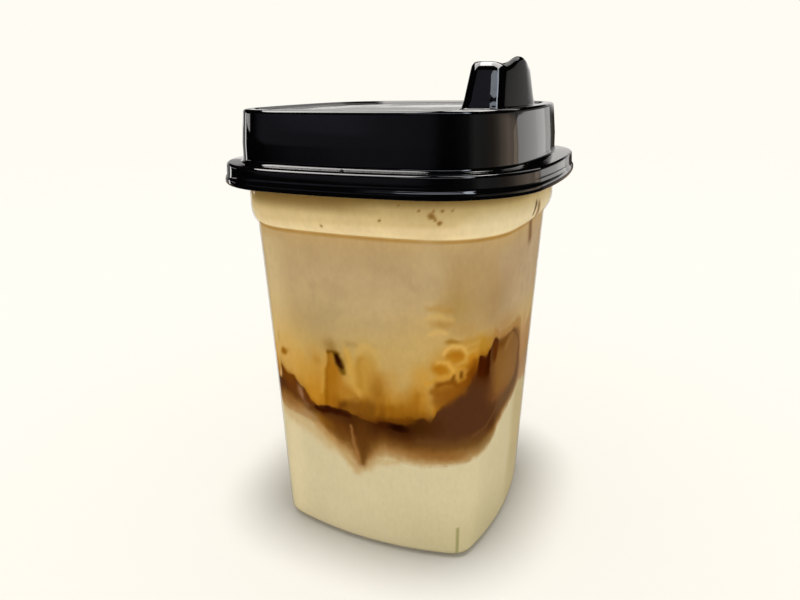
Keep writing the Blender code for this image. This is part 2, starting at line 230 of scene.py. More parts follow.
# Where milk ends and espresso begins, and where espresso ends: mm round the wall, mm up.
MILK_EDGE = (
    (-62, 39.6), (-57, 39.4), (-53, 39.6), (-50, 38.8), (-45.5, 36.2), (-42, 33.2), (-38, 30.2), (-35, 28),
    (-33.5, 26), (-32, 25), (-30.3, 27), (-28, 29.6), (-25, 31.6), (-20, 31.4), (-12, 31), (-4, 32.3),
    (4, 33.2), (10, 33.8), (13, 35.6), (15.5, 38.2), (20, 40.5), (28, 43), (34, 45.5), (44, 42), (56, 37.5),
    (66, 35), (76, 38), (90, 43), (102, 41.5), (112, 36), (120, 32.5), (128, 34.5), (138, 40), (152, 43.5),
    (166, 41), (174, 38.5), (184, 42),
)
ESPRESSO_EDGE = (
    (-62, 49.6), (-61, 51.5), (-60.2, 54.8), (-58.6, 53), (-57, 52.3), (-55.2, 52.5), (-53.5, 50.8),
    (-51, 49.2), (-49.8, 47.2), (-48.4, 45.4), (-46, 44.9), (-42, 45.6), (-37, 45.4), (-33, 44.4),
    (-27, 43.2), (-24, 44.5), (-21, 43.9), (-18, 43.6), (-15, 46), (-12.5, 47), (-10.2, 45.6), (-8.8, 49.8),
    (-6, 52.4), (-3, 55), (0, 58.3), (1.8, 61.5), (3.2, 65.2), (4.8, 64.2), (6.8, 65.9), (8.6, 68.8),
    (10.4, 67.8), (12, 66.4), (22, 66.6), (26, 64.6), (29, 60.5), (31.5, 53.5), (36, 51), (44, 52.5),
    (52, 49), (60, 45), (68, 47), (76, 53.5), (84, 60.5), (92, 62.5), (100, 57.5), (108, 50.5), (116, 46.5),
    (126, 48.5), (134, 55), (142, 59.5), (150, 55.5), (158, 51.5), (168, 51), (178, 48.5), (188, 49.6),
)


LATTICE = np.random.default_rng(7).uniform(-1.0, 1.0, (32, 32, 32))


def noise(points, scale):
    """Smooth noise from -1 to 1 with features about scale across, in the points' own units."""
    at = points / scale
    cell = np.floor(at).astype(int)
    f = at - cell
    f = f * f * f * (f * (f * 6 - 15) + 10)
    total = np.zeros(len(points))
    for step in np.ndindex(2, 2, 2):
        x, y, z = ((cell + step) % LATTICE.shape[0]).T
        total += LATTICE[x, y, z] * np.where(step, f, 1 - f).prod(1)
    return total


def layered(points, scale, octaves=3, offset=0.0):
    total = np.zeros(len(points))
    for octave in range(octaves):
        total += noise(points + offset + 17.3 * octave, scale / 2**octave) / 2**octave
    return total


def smooth(value, low, high):
    share = np.clip((value - low) / (high - low), 0.0, 1.0)
    return share * share * (3 - 2 * share)


def window(value, rise, fall):
    """Nothing before the rise and past the fall, everything between them."""
    return smooth(value, *rise) * (1 - smooth(value, *fall))


def round_wall(s, knots, soften=0.0):
    """Height of a curve that closes on itself round the cup, softened over some mm."""
    at, up = np.array(knots, float).T
    shifts = ((-1.0, 1), (-0.5, 2), (0.0, 3), (0.5, 2), (1.0, 1))
    total = sum(weight * np.interp(s + soften * shift, at, up, period=PERIMETER) for shift, weight in shifts)
    return total / sum(weight for _, weight in shifts)


def tone(share, stops):
    """Colour along a ramp of (place, (red, green, blue))."""
    places, colours = zip(*stops)
    return np.stack([np.interp(share, places, channel) for channel in zip(*colours)], -1)


def lay(rgb, colour, mask):
    return rgb + (np.asarray(colour, float) - rgb) * mask[:, None]


def blob(s, z, centre, radii, lean=0.0, power=2.0):
    """A soft spot; lean turns it, in degrees."""
    ds, dz = s - centre[0], z - centre[1]
    c, n = np.cos(np.radians(lean)), np.sin(np.radians(lean))
    u, v = (ds * c + dz * n) / radii[0], (-ds * n + dz * c) / radii[1]
    return np.exp(-0.5 * (u * u + v * v) ** (power / 2))


def stroke(s, z, path, width, power=2.0):
    """A soft line along a path of points. A width can differ at each point."""
    widths = width if isinstance(width, tuple) else (width,) * len(path)
    best = np.zeros(len(s))
    for (a, b), (wa, wb) in zip(zip(path, path[1:]), zip(widths, widths[1:])):
        dx, dz = b[0] - a[0], b[1] - a[1]
        t = np.clip(((s - a[0]) * dx + (z - a[1]) * dz) / (dx * dx + dz * dz), 0, 1)
        away = np.hypot(s - a[0] - t * dx, z - a[1] - t * dz) / (wa + (wb - wa) * t)
        best = np.maximum(best, np.exp(-0.5 * away**power))
    return best


# Colours are sRGB, 0 to 255. TAN_RAMP runs up the wall in mm. The golden tones run up from the espresso's
# top, and the brown ones from its foot: 1 is GOLDEN_REACH and FADE_DEPTH, in mm at places round the wall.
MILK = (222, 207, 168)
# TAN_RAMP paints light into the band: a painted shadow line at the shoulder's foot near 97 mm, a painted
# highlight just above it up to about 101 mm, and painted shade under the lid, darkening up to 107 mm.
TAN_RAMP = (
    (66, (202, 171, 110)), (72, (199, 170, 117)), (78, (200, 172, 124)), (86, (197, 168, 124)),
    (93, (195, 165, 118)), (96.2, (198, 166, 115)), (96.8, (177, 133, 64)), (97.1, (179, 137, 72)),
    (97.6, (246, 224, 176)), (99, (236, 211, 162)), (100.6, (240, 214, 165)), (103, (222, 194, 136)),
    (105, (208, 180, 122)), (107, (150, 121, 68)),
)
GOLDEN_REACH = (
    (-60, 15), (-44, 18), (-38, 19), (-28, 22), (-18, 14), (-10, 16), (0, 11), (7, 4), (12, 3), (22, 3),
    (30, 10), (50, 14), (80, 8), (110, 16), (140, 8), (170, 15),
)
GOLDEN_TONES = (
    (0.0, (154, 95, 16)), (0.16, (178, 119, 31)), (0.36, (202, 148, 58)), (0.62, (208, 164, 84)),
    (0.86, (203, 170, 103)), (1.05, (199, 170, 113)),
)
FADE_DEPTH = (
    (-62, 6.5), (-50, 6), (-42, 7), (-36, 10), (-32, 14), (-28, 10), (-20, 9.5), (-8, 9), (2, 8.5),
    (10, 7), (18, 6.5), (28, 6), (60, 7), (90, 5), (120, 9), (150, 6), (175, 5),
)
BROWN_TONES = (
    (-0.05, MILK), (0.16, (192, 160, 110)), (0.36, (166, 123, 70)), (0.58, (128, 86, 38)),
    (0.82, (100, 60, 22)), (1.05, (84, 47, 16)),
)

# Broad washes: colour, strength, where each starts and ends round the wall, and where up it.
BEFORE, BEYOND = (-901, -900), (900, 901)
TAN_WASHES = (
    ((186, 153, 102), 0.75, (-10, -4), (6, 12), (68, 78), (88, 96)),
    ((194, 166, 130), 0.8, (4, 12), (60, 90), (68, 78), (90, 96)),
    # Painted reflection: the tan body lighter down the wall's left edge.
    ((222, 197, 146), 0.75, (-66, -61), (-60, -50), BEFORE, (92, 97)),
)
BAND_WASHES = (
    ((242, 228, 188), 0.5, (-8, 6), (60, 80), (97.4, 98), (102, 106)),
    # Painted shadow of the lid across the top of the band on the left.
    ((134, 103, 52), 0.6, (-70, -60), (-36, -20), (102.4, 105.6), BEYOND),
)
GOLDEN_WASHES = (((174, 131, 78), 0.8, (4, 10), (60, 80), BEFORE, BEYOND),)
# Up the espresso these count from its lower edge, where 1 is the depth over which it fades.
BROWN_WASHES = (
    ((86, 51, 28), 0.92, (-14, -6), (34, 50), (0.75, 1.15), BEYOND),
    ((112, 79, 48), 0.8, (9, 17), (34, 44), (0.3, 0.8), BEYOND),
    ((182, 142, 94), 0.85, (32, 36), (46, 56), BEFORE, BEYOND),
)
MILK_WASHES = (
    # Painted reflection: the milk lighter down the wall's left edge.
    ((233, 216, 174), 0.85, (-66, -61), (-60, -50), BEFORE, BEYOND),
    # Painted shade: the milk darker on the right face.
    ((192, 173, 122), 0.7, (25, 34), (60, 90), BEFORE, BEYOND),
    # Painted shade: the milk darker towards the foot, from the near corner round the right.
    ((204, 191, 147), 0.6, (-40, 0), BEYOND, BEFORE, (6, 22)),
)

# Marks of the swirl: colour and strength, then a place, its two radii and perhaps its lean in degrees, or a
# path of places and its width. A last number says how sharp the edge is. Places and sizes are in mm.
# A painted reflection: a light vertical stripe on the tan body beside the near corner.
TAN_PAINTED_REFLECTION = (((208, 181, 134), 0.45, ((-10.5, 75), (-11.5, 95)), (1.6, 2.6)),)
TAN_SPOT = (((178, 152, 106), 0.5, (-44, 71), (6, 5)),)
MOULD_LINE = (((138, 136, 80), 0.75, ((-1.9, 2), (-1.9, 10.6)), 0.35, 4),)
BAND = (
    ((58, 38, 14), 0.9, ((24.3, 99.8), (25.8, 102.6)), (0.35, 0.5)),
    ((112, 72, 36), 0.8, ((28.4, 101.6), (30.6, 92)), (0.8, 1.4)),
    ((176, 142, 80), 0.7, (-4.4, 79), (3.2, 4.6)),
    ((172, 138, 92), 0.7, (8.4, 79.8), (4.4, 5.4)),
    ((206, 176, 112), 0.35, ((-58, 100.2), (-30, 100.9), (-6, 101.4)), 0.7),
)

SPECK = (146, 100, 42)
SPECKS = tuple((SPECK, 0.9, (s, z), (size, size), 0, 4) for s, z, size in (
    (-11.2, 103.5, 0.75), (-10.3, 102.8, 0.4), (-9.2, 101.8, 0.5), (-8.5, 105.0, 0.35), (-10.6, 104.9, 0.3),
    (-6.0, 105.2, 0.35), (-14.0, 105.0, 0.25), (-23.0, 102.2, 0.3), (-38.0, 99.5, 0.3), (-18.5, 106.1, 0.25),
))

LEFT_FIELD = (
    ((230, 192, 124), 0.75, (-61.5, 62), (3.4, 8)),
    ((217, 173, 98), 0.7, (-54.5, 60), (4.5, 7)),
    ((214, 170, 90), 0.55, (-55, 55.5), (3.4, 2)),
    ((210, 158, 68), 0.65, (-50.5, 54), (3, 3.4)),
    ((206, 142, 42), 0.85, (-47.3, 48.8), (2, 3), 12),
    ((196, 134, 36), 0.7, (-44.8, 50), (1.9, 4.2), 12),
    ((198, 143, 54), 0.6, (-45, 58.5), (3, 4.6)),
    ((178, 118, 36), 0.4, (-45.2, 59.8), (0.9, 1)),
    ((156, 96, 18), 0.95, (-57.9, 59.6), (1.5, 0.8), 28, 3),
    ((190, 146, 74), 0.4, ((-60.3, 61.8), (-59.9, 65)), 0.5),
)

FOLD = (
    ((170, 108, 22), 0.9, (-39.4, 55), (2.2, 5.6), -12, 3),
    ((186, 128, 46), 0.75, (-37.6, 52.4), (2.2, 2.4)),
    ((176, 118, 34), 0.7, (-34.6, 51.6), (2.6, 1.8)),
    ((160, 100, 18), 0.7, (-39.8, 47.6), (2.4, 1.6)),
    ((148, 90, 8), 0.8, ((-43, 46.2), (-42.2, 53), (-41.3, 59), (-40.7, 63.2)), (0.5, 0.5, 0.5, 0.4)),
    ((214, 162, 74), 0.5, ((-44.2, 50), (-42.9, 57), (-41.6, 63)), 0.5),
    ((158, 120, 58), 0.75, (-40, 65.4), (1.6, 1.3)),
    ((112, 72, 12), 0.9, ((-40.9, 63.2), (-39.4, 63.6), (-38, 63)), (0.45, 0.6, 0.6)),
    ((172, 112, 22), 0.85, ((-39.8, 62.2), (-40, 58), (-40.6, 52)), (0.6, 1, 1.2)),
    ((98, 66, 8), 0.9, ((-38.6, 62.8), (-37.4, 60.4), (-36.1, 57.8)), (0.7, 1.1, 0.8), 3),
    ((38, 10, 0), 0.98, ((-38.3, 62.2), (-37.5, 60.8), (-36.8, 59.4)), (0.6, 0.85, 0.7), 3),
    ((182, 136, 44), 0.6, (-34.9, 62), (1.1, 2.4)),
    ((214, 167, 80), 0.85, ((-34.9, 64.4), (-33.6, 58), (-32.6, 54), (-31.4, 52.2)), (0.6, 1.2, 1.1, 0.8)),
    ((198, 148, 58), 0.8, (-28.7, 59.4), (3.2, 5.6), 0, 3),
    ((178, 124, 34), 0.45, ((-31.2, 54), (-31.4, 60), (-30.6, 63)), 0.8),
    ((214, 174, 98), 0.6, ((-31.6, 64), (-30.2, 66), (-28, 66.6), (-26, 65.2), (-24.8, 61)), 0.8),
    ((164, 130, 72), 0.4, ((-34.5, 66.6), (-31.5, 66.7)), 0.6),
)

VALLEY = (
    ((202, 167, 102), 0.85, (-21, 61), (3.2, 5.6)),
    ((202, 156, 80), 0.75, ((-21.4, 58), (-20.4, 53)), (1.8, 0.8)),
    ((176, 121, 38), 0.6, (-25.6, 56), (1.7, 2.6)),
    ((150, 97, 26), 0.75, (-25.8, 52.3), (2, 3)),
    ((116, 70, 16), 0.74, ((-37.6, 46.8), (-33, 47.4), (-29, 47.6), (-23.6, 46.8)), (1.2, 2, 2.3, 2.1), 3),
    ((104, 58, 10), 0.55, ((-38.4, 46.2), (-36.6, 47.4)), 0.5),
    ((152, 96, 14), 0.7, (-21.6, 47.4), (2.8, 1.8)),
    ((148, 91, 17), 0.55, (-16, 51), (2, 3)),
    ((186, 124, 32), 0.35, ((-26.4, 46), (-25.2, 51.6)), (0.4, 0.8)),
    ((186, 126, 34), 0.35, ((-23.2, 45.4), (-22.2, 53.6)), (0.4, 0.9)),
    ((186, 126, 34), 0.3, ((-20.6, 46), (-19.6, 52.2)), (0.4, 0.8)),
    ((160, 100, 18), 0.3, ((-31.4, 45.6), (-30, 50.4)), (0.4, 0.7)),
    ((152, 95, 17), 0.65, (-18, 47.6), (4.6, 2.6), 0, 3),
    ((184, 126, 34), 0.55, (-13.4, 53.6), (2.4, 4.4)),
    ((210, 156, 66), 0.75, (-12.6, 60), (2.4, 2.4)),
    ((176, 126, 52), 0.55, ((-11.6, 51), (-10.3, 46.2)), (0.8, 0.4)),
    ((156, 98, 20), 0.5, ((-14.6, 47), (-14.2, 54)), (0.4, 0.7)),
)

BILLOWS = (
    ((212, 172, 98), 0.5, (-9.5, 71.5), (6.5, 4.6)),
    ((184, 140, 66), 0.55, ((-11.4, 79), (-8.4, 79.4), (-5.2, 78.8)), (0.4, 0.9, 0.4)),
    ((222, 182, 108), 0.55, ((-11.6, 76.6), (-8.6, 77.4), (-5.2, 76.4)), (0.4, 0.8, 0.4)),
    ((202, 146, 54), 0.88, (-3.6, 64.6), (5.8, 3.9), 22, 3),
    ((182, 134, 42), 0.8, (4.8, 68.4), (2.6, 1.9), 0, 3),
    ((194, 154, 84), 0.6, (4.6, 71.2), (2.6, 0.9)),
    ((178, 132, 78), 0.6, (14.5, 70.4), (5, 2.2)),
    ((188, 132, 42), 0.5, (0.2, 69.4), (2.4, 1.3)),
    ((160, 110, 30), 0.85, (-4.8, 70.4), (1.7, 0.55), -6, 3),
    ((206, 172, 104), 0.6, ((-7.4, 70.8), (-5.2, 71.7), (-2.8, 71.2)), 0.4),
    ((184, 138, 64), 0.7, (-7.8, 75.2), (2.1, 0.8)),
    ((224, 186, 112), 0.65, ((-11.4, 72), (-8.8, 73.1), (-6.4, 72.7)), (0.4, 0.8, 0.4)),
    ((190, 146, 82), 0.5, (-1.2, 73.4), (2.6, 1.4)),
    ((180, 114, 22), 0.9, (-4, 66.2), (2.1, 1.55), -10, 4),
    ((196, 134, 34), 0.6, ((-5.4, 65.2), (-3.6, 64.8)), 0.5),
    ((200, 134, 34), 0.85, (0.7, 65), (1.5, 1.7), 0, 3),
    ((180, 114, 18), 0.9, (-8.1, 62.3), (2.1, 1.45), -12, 4),
    ((190, 126, 26), 0.7, (-1.8, 62.6), (1.4, 0.8), 0, 3),
    ((226, 179, 94), 0.9, ((-7.1, 66.8), (-6.4, 68), (-4.9, 68.9), (-3.1, 68.8), (-1.7, 67.8), (-0.8, 66.5)),
     (0.35, 0.5, 0.55, 0.55, 0.5, 0.4)),
    ((210, 162, 74), 0.7, ((-1.1, 66.2), (-1.3, 65), (-2.4, 64.1), (-3.5, 63.8)), (0.4, 0.4, 0.45, 0.35)),
    ((208, 164, 76), 0.75, ((-1, 66.3), (0.2, 67), (1.8, 67.3)), (0.3, 0.35, 0.3)),
    ((206, 166, 84), 0.65, ((-0.9, 68.4), (0.4, 69.1), (2.4, 69.2)), 0.4),
    ((224, 172, 78), 0.88,
     ((-9.2, 64.2), (-7.9, 64.7), (-6.6, 64.4), (-5.6, 63.3), (-4.8, 62.3), (-4.4, 61.3)),
     (0.3, 0.42, 0.5, 0.5, 0.48, 0.4)),
    ((210, 152, 54), 0.75, ((-12, 57.8), (-10, 58.3), (-8.3, 59.6), (-6.4, 60), (-4.8, 60.8)), 0.45),
    ((212, 160, 62), 0.75, ((-3.6, 62.2), (-2.4, 62), (-1.3, 61.4)), 0.35),
)

BILLOW_FOOT = (
    ((134, 76, 12), 0.92, ((-8.6, 57.6), (-6.2, 58.4), (-4.6, 58.4), (-2.6, 57.4), (-0.2, 58.4)),
     (0.7, 0.8, 0.8, 0.9, 0.8), 3),
    ((142, 84, 18), 0.85, ((-9.2, 55.2), (-6, 55.4), (-2.4, 56.2)), (1.4, 2, 1.4), 3),
    ((138, 84, 24), 0.7, ((-9, 52.4), (-6.6, 53.2)), (1, 1.2)),
    ((140, 78, 8), 0.85, ((-0.2, 60.4), (1.2, 61.8), (1.9, 63.6)), (0.9, 0.9, 0.5)),
    ((170, 100, 14), 0.6, ((0, 62.6), (1, 64.2)), 0.6),
    ((206, 150, 58), 0.75, ((-3.6, 61.6), (-3.5, 60), (-3.2, 58.6)), (0.4, 0.3, 0.22)),
    ((206, 150, 58), 0.75, ((-1.3, 61.6), (-1.5, 60.4), (-1.2, 59.4)), (0.4, 0.3, 0.22)),
    ((112, 56, 4), 0.7, (0.8, 60.4), (1.3, 1.7)),
    ((104, 56, 3), 0.9, ((-2.3, 61), (-2.4, 59.8)), (0.28, 0.36)),
    ((112, 62, 6), 0.8, ((-4.4, 60.2), (-4.7, 59.4)), (0.3, 0.4)),
)

DARK_UNDER = (
    ((120, 66, 12), 0.85, (-57.2, 50.6), (2.6, 1.7), -15, 3),
    ((108, 58, 18), 0.8, (-56, 48.6), (2.2, 2.4), 0, 3),
    ((118, 64, 10), 0.85, ((-60.1, 54.3), (-59, 52.8), (-57, 51.8), (-55.2, 51.8)), (0.5, 0.7, 0.6, 0.5)),
    ((224, 180, 130), 0.85, ((-63, 50.6), (-61.6, 51.4), (-61, 52.6)), (0.9, 0.7, 0.4)),
    ((164, 120, 86), 0.85, (-52.8, 47.6), (1.1, 2), 0, 3),
    ((150, 106, 72), 0.6, ((-52.6, 45.6), (-50.4, 44)), 0.9),
    ((112, 58, 14), 0.85, ((-51.2, 48.4), (-49.9, 46.4), (-48.4, 45)), (0.5, 0.6, 0.5)),
    ((104, 58, 16), 0.75, ((-54.9, 48.6), (-54, 46), (-52.6, 44.6)), 0.5),
    ((168, 118, 62), 0.6, ((-62, 44.6), (-57, 44), (-53.4, 42.4)), 1.2),
    ((150, 98, 42), 0.5, ((-60, 46.6), (-56.4, 45.4)), 0.7),
    ((170, 142, 104), 0.6, ((-52, 41.6), (-48, 40.2)), 0.9),
    ((196, 152, 86), 0.65, ((-50, 38.2), (-46.4, 36.6), (-42.6, 34.4)), 0.9),
    ((50, 16, 2), 0.93, ((-47.4, 44.2), (-45, 43.6), (-42, 44.4), (-38.6, 44.4), (-35.4, 43.8)),
     (0.5, 0.8, 0.8, 0.85, 0.6), 3),
    ((66, 30, 6), 0.8, (-32.6, 42), (3.4, 1.9)),
    ((58, 22, 2), 0.85, (-24.5, 43), (2.6, 1.2)),
    ((60, 27, 5), 0.7, (-18.2, 41.9), (4.6, 2)),
    ((28, 5, 0), 0.98, (-19.6, 42.9), (2.7, 1.05), -4, 4),
    ((62, 32, 4), 0.8, (-14.5, 44), (3, 1.8)),
    ((78, 42, 14), 0.75, (-9.8, 45.2), (2.6, 1.8)),
    ((148, 94, 26), 0.6, ((-45.6, 40.6), (-42.4, 39.4)), 1.3),
    ((118, 72, 22), 0.6, (-38.4, 38.6), (2.6, 2.4), -40),
    ((98, 58, 18), 0.75, ((-31.4, 41), (-31.4, 34), (-31.8, 29)), (2.2, 1.5, 0.7)),
    ((168, 118, 66), 0.75, ((-35.1, 41), (-34.2, 35), (-32.9, 29)), (0.3, 0.5, 0.5)),
    ((130, 90, 50), 0.55, ((2, 41.2), (8, 42.4), (14, 45.6)), 0.35),
    ((110, 75, 40), 0.55, ((-14, 39.6), (-4, 39.4), (7, 40.2)), 1.3),
    ((144, 95, 41), 0.7, (-7.5, 35.2), (6, 1.3)),
    ((106, 60, 8), 0.75, ((-24.4, 44.9), (-20, 45.2), (-15.6, 45.6)), 0.6),
    ((130, 110, 70), 0.5, (8, 36.4), (4.4, 1.2)),
    ((106, 76, 46), 0.6, (22, 45.6), (7, 1.9)),
)

LUMP = (
    ((151, 107, 53), 0.6, (18, 55), (4.8, 4.4)),
    ((120, 76, 36), 0.65, ((8.8, 61), (9.2, 56), (9.2, 51)), (1, 1.5, 1.6)),
    ((120, 71, 17), 0.8, ((12.4, 65.6), (14.6, 65.2), (17, 65.8)), (0.9, 1.1, 0.7)),
    ((166, 122, 62), 0.6, ((16.5, 62.6), (19.2, 64.2), (22, 65.4)), 0.35),
    ((110, 66, 24), 0.7, ((22.4, 66.2), (25.2, 65), (28.2, 62.2), (30.8, 58)), (0.4, 0.6, 0.7, 0.6)),
    ((108, 64, 20), 0.85, ((29.6, 57.6), (30.2, 54), (29.4, 50.6)), (1, 1.3, 0.9)),
    ((136, 86, 50), 0.7, ((10.6, 49.4), (14, 48.9), (18.4, 49.2)), 0.8),
    ((192, 134, 88), 0.7, (34.4, 62), (2.2, 3.6)),
    ((176, 131, 86), 0.7, (34.6, 51), (2, 6)),
)

NEAR_CORNER = (
    ((68, 24, 1), 0.95, ((3.4, 64.4), (3.4, 59.4)), (0.6, 1), 4),
    ((68, 24, 1), 0.95, ((5, 63.4), (5, 59)), (1, 1.4), 4),
    ((58, 20, 0), 0.97, ((6.6, 65.3), (6.5, 62), (6.4, 58.8)), (0.5, 0.8, 0.9), 4),
    ((84, 42, 12), 0.6, ((3, 57.6), (6.4, 57)), 1),
    ((112, 72, 32), 0.75, ((7.9, 65.6), (8, 58)), (0.28, 0.36)),
    ((98, 46, 8), 0.92, ((9.3, 68.2), (9.7, 65.6), (9.9, 62.4)), (0.5, 1.1, 0.8), 3),
    ((134, 88, 34), 0.5, ((11.9, 66.2), (12, 63.4)), 0.3),
)

MILK_EDGE_HAZE = (
    ((206, 174, 122), 0.65, ((-64, 39.6), (-56, 37.8), (-49, 35.6), (-43, 32.4)), 1.7),
    ((176, 130, 78), 0.55, ((-64, 42.6), (-57, 41.2), (-50, 39.4)), 1.2),
    ((188, 144, 86), 0.6, ((-47, 37.4), (-41, 33), (-36.6, 29), (-34, 26)), 1),
    ((196, 158, 102), 0.45, ((-29.6, 27.4), (-27, 30.4), (-21, 31.2)), 0.9),
)

TAN_CLOUD = (178, 152, 110)
LUMP_TONE = (142, 97, 45)
LUMP_AT, LUMP_RADII, LUMP_FULLNESS = (19.4, 57.2), (11.6, 9.4), (3.2, 2.6)


class Wall:
    """Places on the drink's wall, as they are and drifted a little, with the noise that its colours share."""

    def __init__(self, s, z, points):
        self.s, self.z = signed_way(s), z
        self.front = window(self.s, (FRONT_FROM, FRONT_FROM + 5), (FRONT_TO - 7, FRONT_TO))
        self.coarse = layered(points, 9.0)
        self.other = layered(points, 7.0, 3, 40.0)
        self.fine = layered(points, 2.4, 3, 80.0)
        self.streaks = layered(points * (1, 1, 0.28), 3.2, 3, 120.0)
        plainer = 1.6 * (1 - self.front)
        self.drift_s = self.s + 0.32 * self.fine + plainer * self.coarse
        self.drift_z = z + 0.34 * layered(points, 1.7, 2, 60.0) + plainer * self.other
        self.espresso_top = round_wall(self.drift_s, ESPRESSO_EDGE)
        above_milk = self.drift_z - round_wall(self.drift_s, MILK_EDGE, 1.2)
        self.into_espresso = above_milk / round_wall(self.s, FADE_DEPTH, 2.0)


def wash(rgb, s, z, washes):
    for colour, strength, s_rise, s_fall, z_rise, z_fall in washes:
        rgb = lay(rgb, colour, strength * window(s, s_rise, s_fall) * window(z, z_rise, z_fall))
    return rgb


def lay_marks(rgb, wall, *tables, drifted=True):
    """Lay the tables' marks one over the other, on the front alone."""
    there = wall.front > 0.002
    at, up = (wall.drift_s, wall.drift_z) if drifted else (wall.s, wall.z)
    part, at, up, front = rgb[there], at[there], up[there], wall.front[there]
    for marks in tables:
        for colour, strength, place, *form in marks:
            shape = stroke if isinstance(place[0], tuple) else blob
            part = lay(part, colour, strength * front * shape(at, up, place, *form))
    rgb[there] = part
    return rgb


def paint_tan(wall):
    """The tan body, duller round the near corner and pinker on the right face, with painted reflections down
    its left edge and beside the near corner; and the pale band above it, with a painted shadow line at the
    shoulder, a painted highlight just above it and painted shade under the lid.
    """
    rgb = wash(tone(wall.z, TAN_RAMP), wall.s, wall.z, TAN_WASHES)
    rgb += (4.0 * wall.other + 2.0 * wall.fine)[:, None] * (1, 1, 0.9)
    rgb = lay_marks(rgb, wall, TAN_PAINTED_REFLECTION, drifted=False)
    rgb = wash(rgb, wall.s, wall.z, BAND_WASHES)
    rgb = lay_marks(rgb, wall, BAND, drifted=False)
    rgb = lay_marks(rgb, wall, SPECKS)
    cloud = smooth(wall.coarse + 0.6 * wall.other, 0.2, 0.9) * window(wall.z, (68, 76), (88, 94))
    return lay_marks(lay(rgb, TAN_CLOUD, 0.35 * cloud), wall, TAN_SPOT)


def paint_gold(rgb, wall):
    """The golden zone above the espresso, with its fold, valley and billows."""
    soft_top = round_wall(wall.s, ESPRESSO_EDGE, 6.0)
    foot = np.maximum(wall.espresso_top, soft_top - 6)
    above = (wall.drift_z - foot) / round_wall(wall.s, GOLDEN_REACH, 3.0)
    golden = wash(tone(above + 0.15 * wall.streaks, GOLDEN_TONES), wall.s, wall.z, GOLDEN_WASHES)
    edge = 0.12 * wall.coarse
    rgb = lay(rgb, golden, 1 - smooth(above, 0.70 + edge, 1.05 + edge))
    return lay_marks(rgb, wall, LEFT_FIELD, FOLD, VALLEY, BILLOWS)


def paint_espresso(rgb, wall):
    """The espresso: mostly crisp on top, soft below where it runs out into the milk, and its paler lump."""
    into = wall.into_espresso
    brown = wash(tone(into + 0.06 * wall.streaks, BROWN_TONES), wall.s, into, BROWN_WASHES)
    crisp = 0.25 + 1.6 * window(wall.s, (-10, -6), (1, 2.6)) + smooth(wall.s, 10, 13)
    rgb = lay(rgb, brown, smooth(wall.espresso_top - wall.drift_z, -crisp, crisp))
    rgb = lay_marks(rgb, wall, BILLOW_FOOT, DARK_UNDER)
    across = np.abs(wall.s - LUMP_AT[0] + 0.8 * wall.coarse) / LUMP_RADII[0]
    upward = np.abs(wall.z - LUMP_AT[1] + 0.7 * wall.other) / LUMP_RADII[1]
    inside = 1 - across ** LUMP_FULLNESS[0] - upward ** LUMP_FULLNESS[1]
    rgb = lay(rgb, LUMP_TONE, 0.95 * wall.front * smooth(inside, -0.10, 0.50))
    return lay_marks(rgb, wall, LUMP, NEAR_CORNER)


def paint_milk(rgb, wall):
    # The milk's washes carry painted light: a painted reflection down the left edge, and painted shade on the
    # right face and towards the foot.
    milk = wash(np.tile(np.array(MILK, float), (len(rgb), 1)), wall.s, wall.z, MILK_WASHES)
    milk += (2.0 * wall.coarse)[:, None]
    milk = lay_marks(milk, wall, MOULD_LINE, drifted=False)
    rgb = lay(rgb, milk, 1 - smooth(wall.into_espresso, -0.12, 0.14 + 0.05 * wall.coarse))
    return lay_marks(rgb, wall, MILK_EDGE_HAZE)


def paint(s, z, points):
    """sRGB 0..255 for wall points, from the top layer of the drink down."""
    wall = Wall(s, z, points)
    rgb = paint_milk(paint_espresso(paint_gold(paint_tan(wall), wall), wall), wall)
    return np.clip(rgb, 0, 255)


def linear(colour):
    """sRGB 0..255 to scene linear."""
    share = np.asarray(colour, float) / 255.0
    return np.where(share <= 0.04045, share / 12.92, ((share + 0.055) / 1.055) ** 2.4)


# ------------ materials
class Nodes:
    """A short way to write the shader nodes of a new material or world."""

    def __init__(self, owner):
        owner.use_nodes = True
        self.owner = owner
        self.tree = owner.node_tree
        self.tree.nodes.clear()

    def add(self, kind, output, inputs=None, **settings):
        """One output of a new node. Each input named takes a number, a colour or another node's output."""
        node = self.tree.nodes.new("ShaderNode" + kind)
        for key, value in settings.items():
            setattr(node, key, value)
        for key, value in (inputs or {}).items():
            if isinstance(value, bpy.types.NodeSocket):
                self.tree.links.new(value, node.inputs[key])
            else:
                node.inputs[key].default_value = value
        return node.outputs[output]

    def noise(self, scale, detail=3.0, roughness=0.5, stretch=(1.0, 1.0, 1.0)):
        place = self.add("Mapping", "Vector", {"Vector": self.add("TexCoord", "Object"), "Scale": stretch})
        look = {"Vector": place, "Scale": scale, "Detail": detail, "Roughness": roughness}
        return self.add("TexNoise", "Fac", look)

    def ranged(self, value, low, high, from_low=0.3, from_high=0.7, curve="LINEAR"):
        ends = {"Value": value, "From Min": from_low, "From Max": from_high, "To Min": low, "To Max": high}
        return self.add("MapRange", "Result", ends, interpolation_type=curve)

    def worked(self, operation, *terms):
        return self.add("Math", "Value", dict(enumerate(terms)), operation=operation)

    def mixed(self, factor, first, second):
        return self.add("MixShader", "Shader", {0: factor, 1: first, 2: second})

    def bump(self, height, strength, distance):
        return self.add("Bump", "Normal", {"Height": height, "Strength": strength, "Distance": distance})

    def shown(self, surface):
        kind = "World" if isinstance(self.owner, bpy.types.World) else "Material"
        end = self.tree.nodes.new("ShaderNodeOutput" + kind)
        self.tree.links.new(surface, end.inputs["Surface"])
        return self.owner


